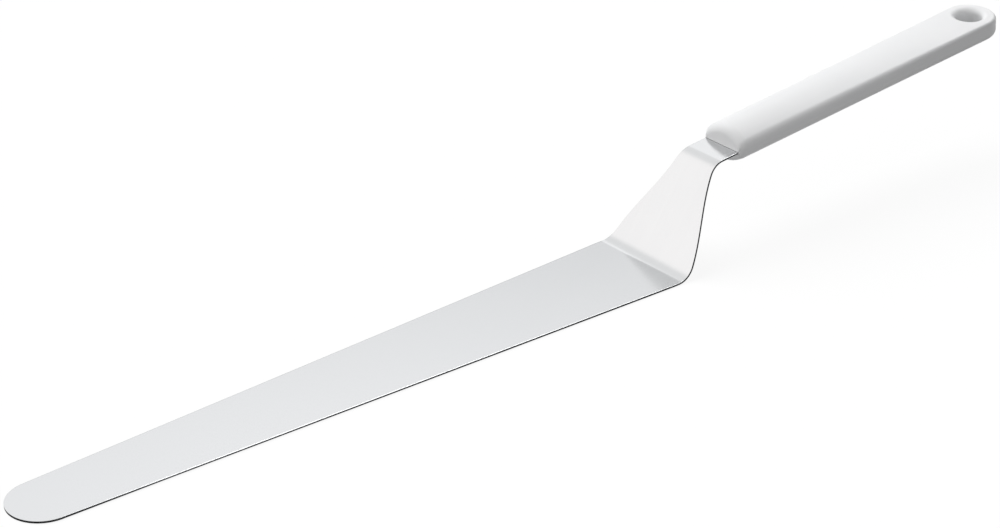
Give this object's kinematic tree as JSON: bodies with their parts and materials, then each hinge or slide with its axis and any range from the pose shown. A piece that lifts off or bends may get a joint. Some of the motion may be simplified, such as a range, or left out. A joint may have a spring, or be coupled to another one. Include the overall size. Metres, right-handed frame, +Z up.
{
  "type": "icing spatula",
  "caption": "Cranked icing spatula: a long tapering round-tipped blade of polished sheet steel, stepped up at the heel into a white moulded handle with a hanging hole.",
  "frame": {"origin": "on the plane that the blade rests on, under the middle of the whole spatula", "axes": "+X from the blade's tip to the handle's end, +Y across the blade, +Z up from the blade's flat"},
  "size_m": [0.4256, 0.0408, 0.0511],
  "materials": {
    "blade_steel": "polished to a soft mirror with fine lengthwise lines, edges sheared",
    "handle_plastic": "smooth white moulding with a low sheen"
  },
  "bodies": {
    "root": {"blade": "blade_steel", "handle": "handle_plastic"}
  },
  "joints": []
}
